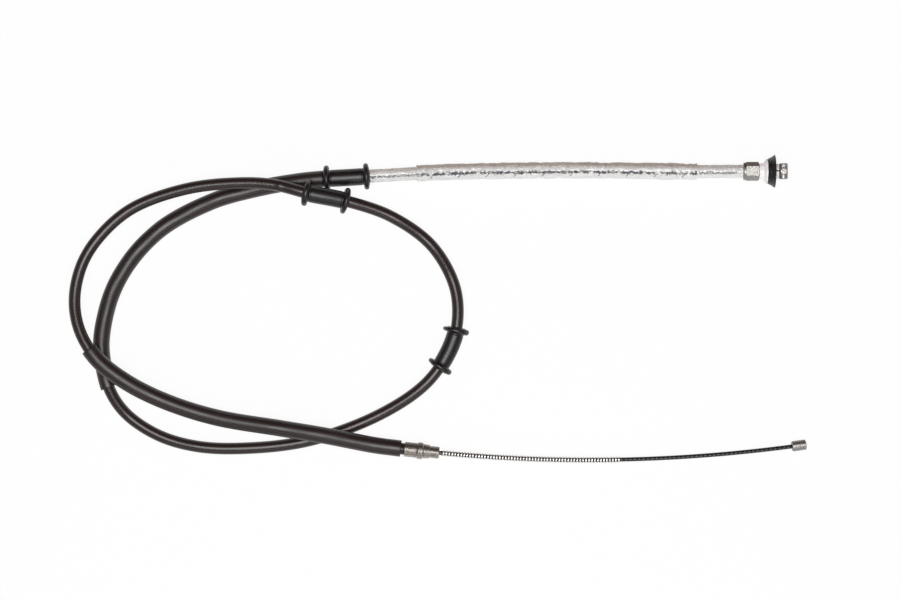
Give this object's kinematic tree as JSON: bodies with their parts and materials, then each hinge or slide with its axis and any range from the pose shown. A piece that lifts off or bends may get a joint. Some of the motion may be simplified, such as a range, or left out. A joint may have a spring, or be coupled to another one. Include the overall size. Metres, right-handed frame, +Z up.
{
  "type": "parking brake cable",
  "caption": "Sheathed pull cable laid in a loop, with protective tubes, rubber grommets, a foil heat shield and a nipple at each end.",
  "frame": {"origin": "on the surface that the cable lies on, under the middle of its box", "axes": "+Z up; +X towards both ends of the cable; +Y from the brake end's run towards the lever end's run"},
  "size_m": [0.4994, 0.209, 0.0294],
  "materials": {
    "sheath": "black extruded sheath, satin",
    "winding": "wound steel wire",
    "liner": "slippery white liner",
    "rope": "steel rope in a thin black coat",
    "tube": "black flexible tube, glossy",
    "grommet": "moulded black rubber",
    "foil": "thin foil tape",
    "shield": "crinkled foil strip on cloth",
    "brake_ferrule": "plated turned steel, satin",
    "coil": "bright flat spring wire",
    "nipple": "die-cast grey zinc alloy",
    "lever_ferrule": "crimped plated steel",
    "bush": "white moulded plastic",
    "seal": "moulded black rubber"
  },
  "bodies": {
    "casing": {"casing_sheath": "sheath", "casing_winding": "winding", "casing_liner": "liner", "inner_rope": "rope", "brake_side_tube": "tube", "middle_tube": "tube", "brake_side_grommet": "grommet", "loop_grommet": "grommet", "shield_side_grommet": "grommet", "foil_wrap": "foil", "heat_shield": "shield", "brake_end_ferrule": "brake_ferrule", "guard_coil": "coil", "lever_end_ferrule": "lever_ferrule", "lever_end_bush": "bush", "lever_end_seal": "seal"},
    "brake_rope": {"brake_end_rope": "rope", "brake_end_nipple": "nipple"},
    "lever_rope": {"lever_end_rope": "rope", "lever_end_nipple": "nipple"}
  },
  "joints": [
    {"name": "brake_rope_pull", "type": "hinge", "parent": "casing", "child": "brake_rope", "pos_m": [0.1029, 0.95465, 0.00708], "axis": [-0.0244, 0, -0.9997], "range_deg": [0, 1.36]},
    {"name": "lever_rope_pull", "type": "slide", "parent": "casing", "child": "lever_rope", "axis": [0.999, 0, 0.0436], "range_m": [0, 0.02501]}
  ],
  "couplings": [
    {"joint": "lever_rope_pull", "follows": "brake_rope_pull", "m_per_rad": 1.057}
  ]
}
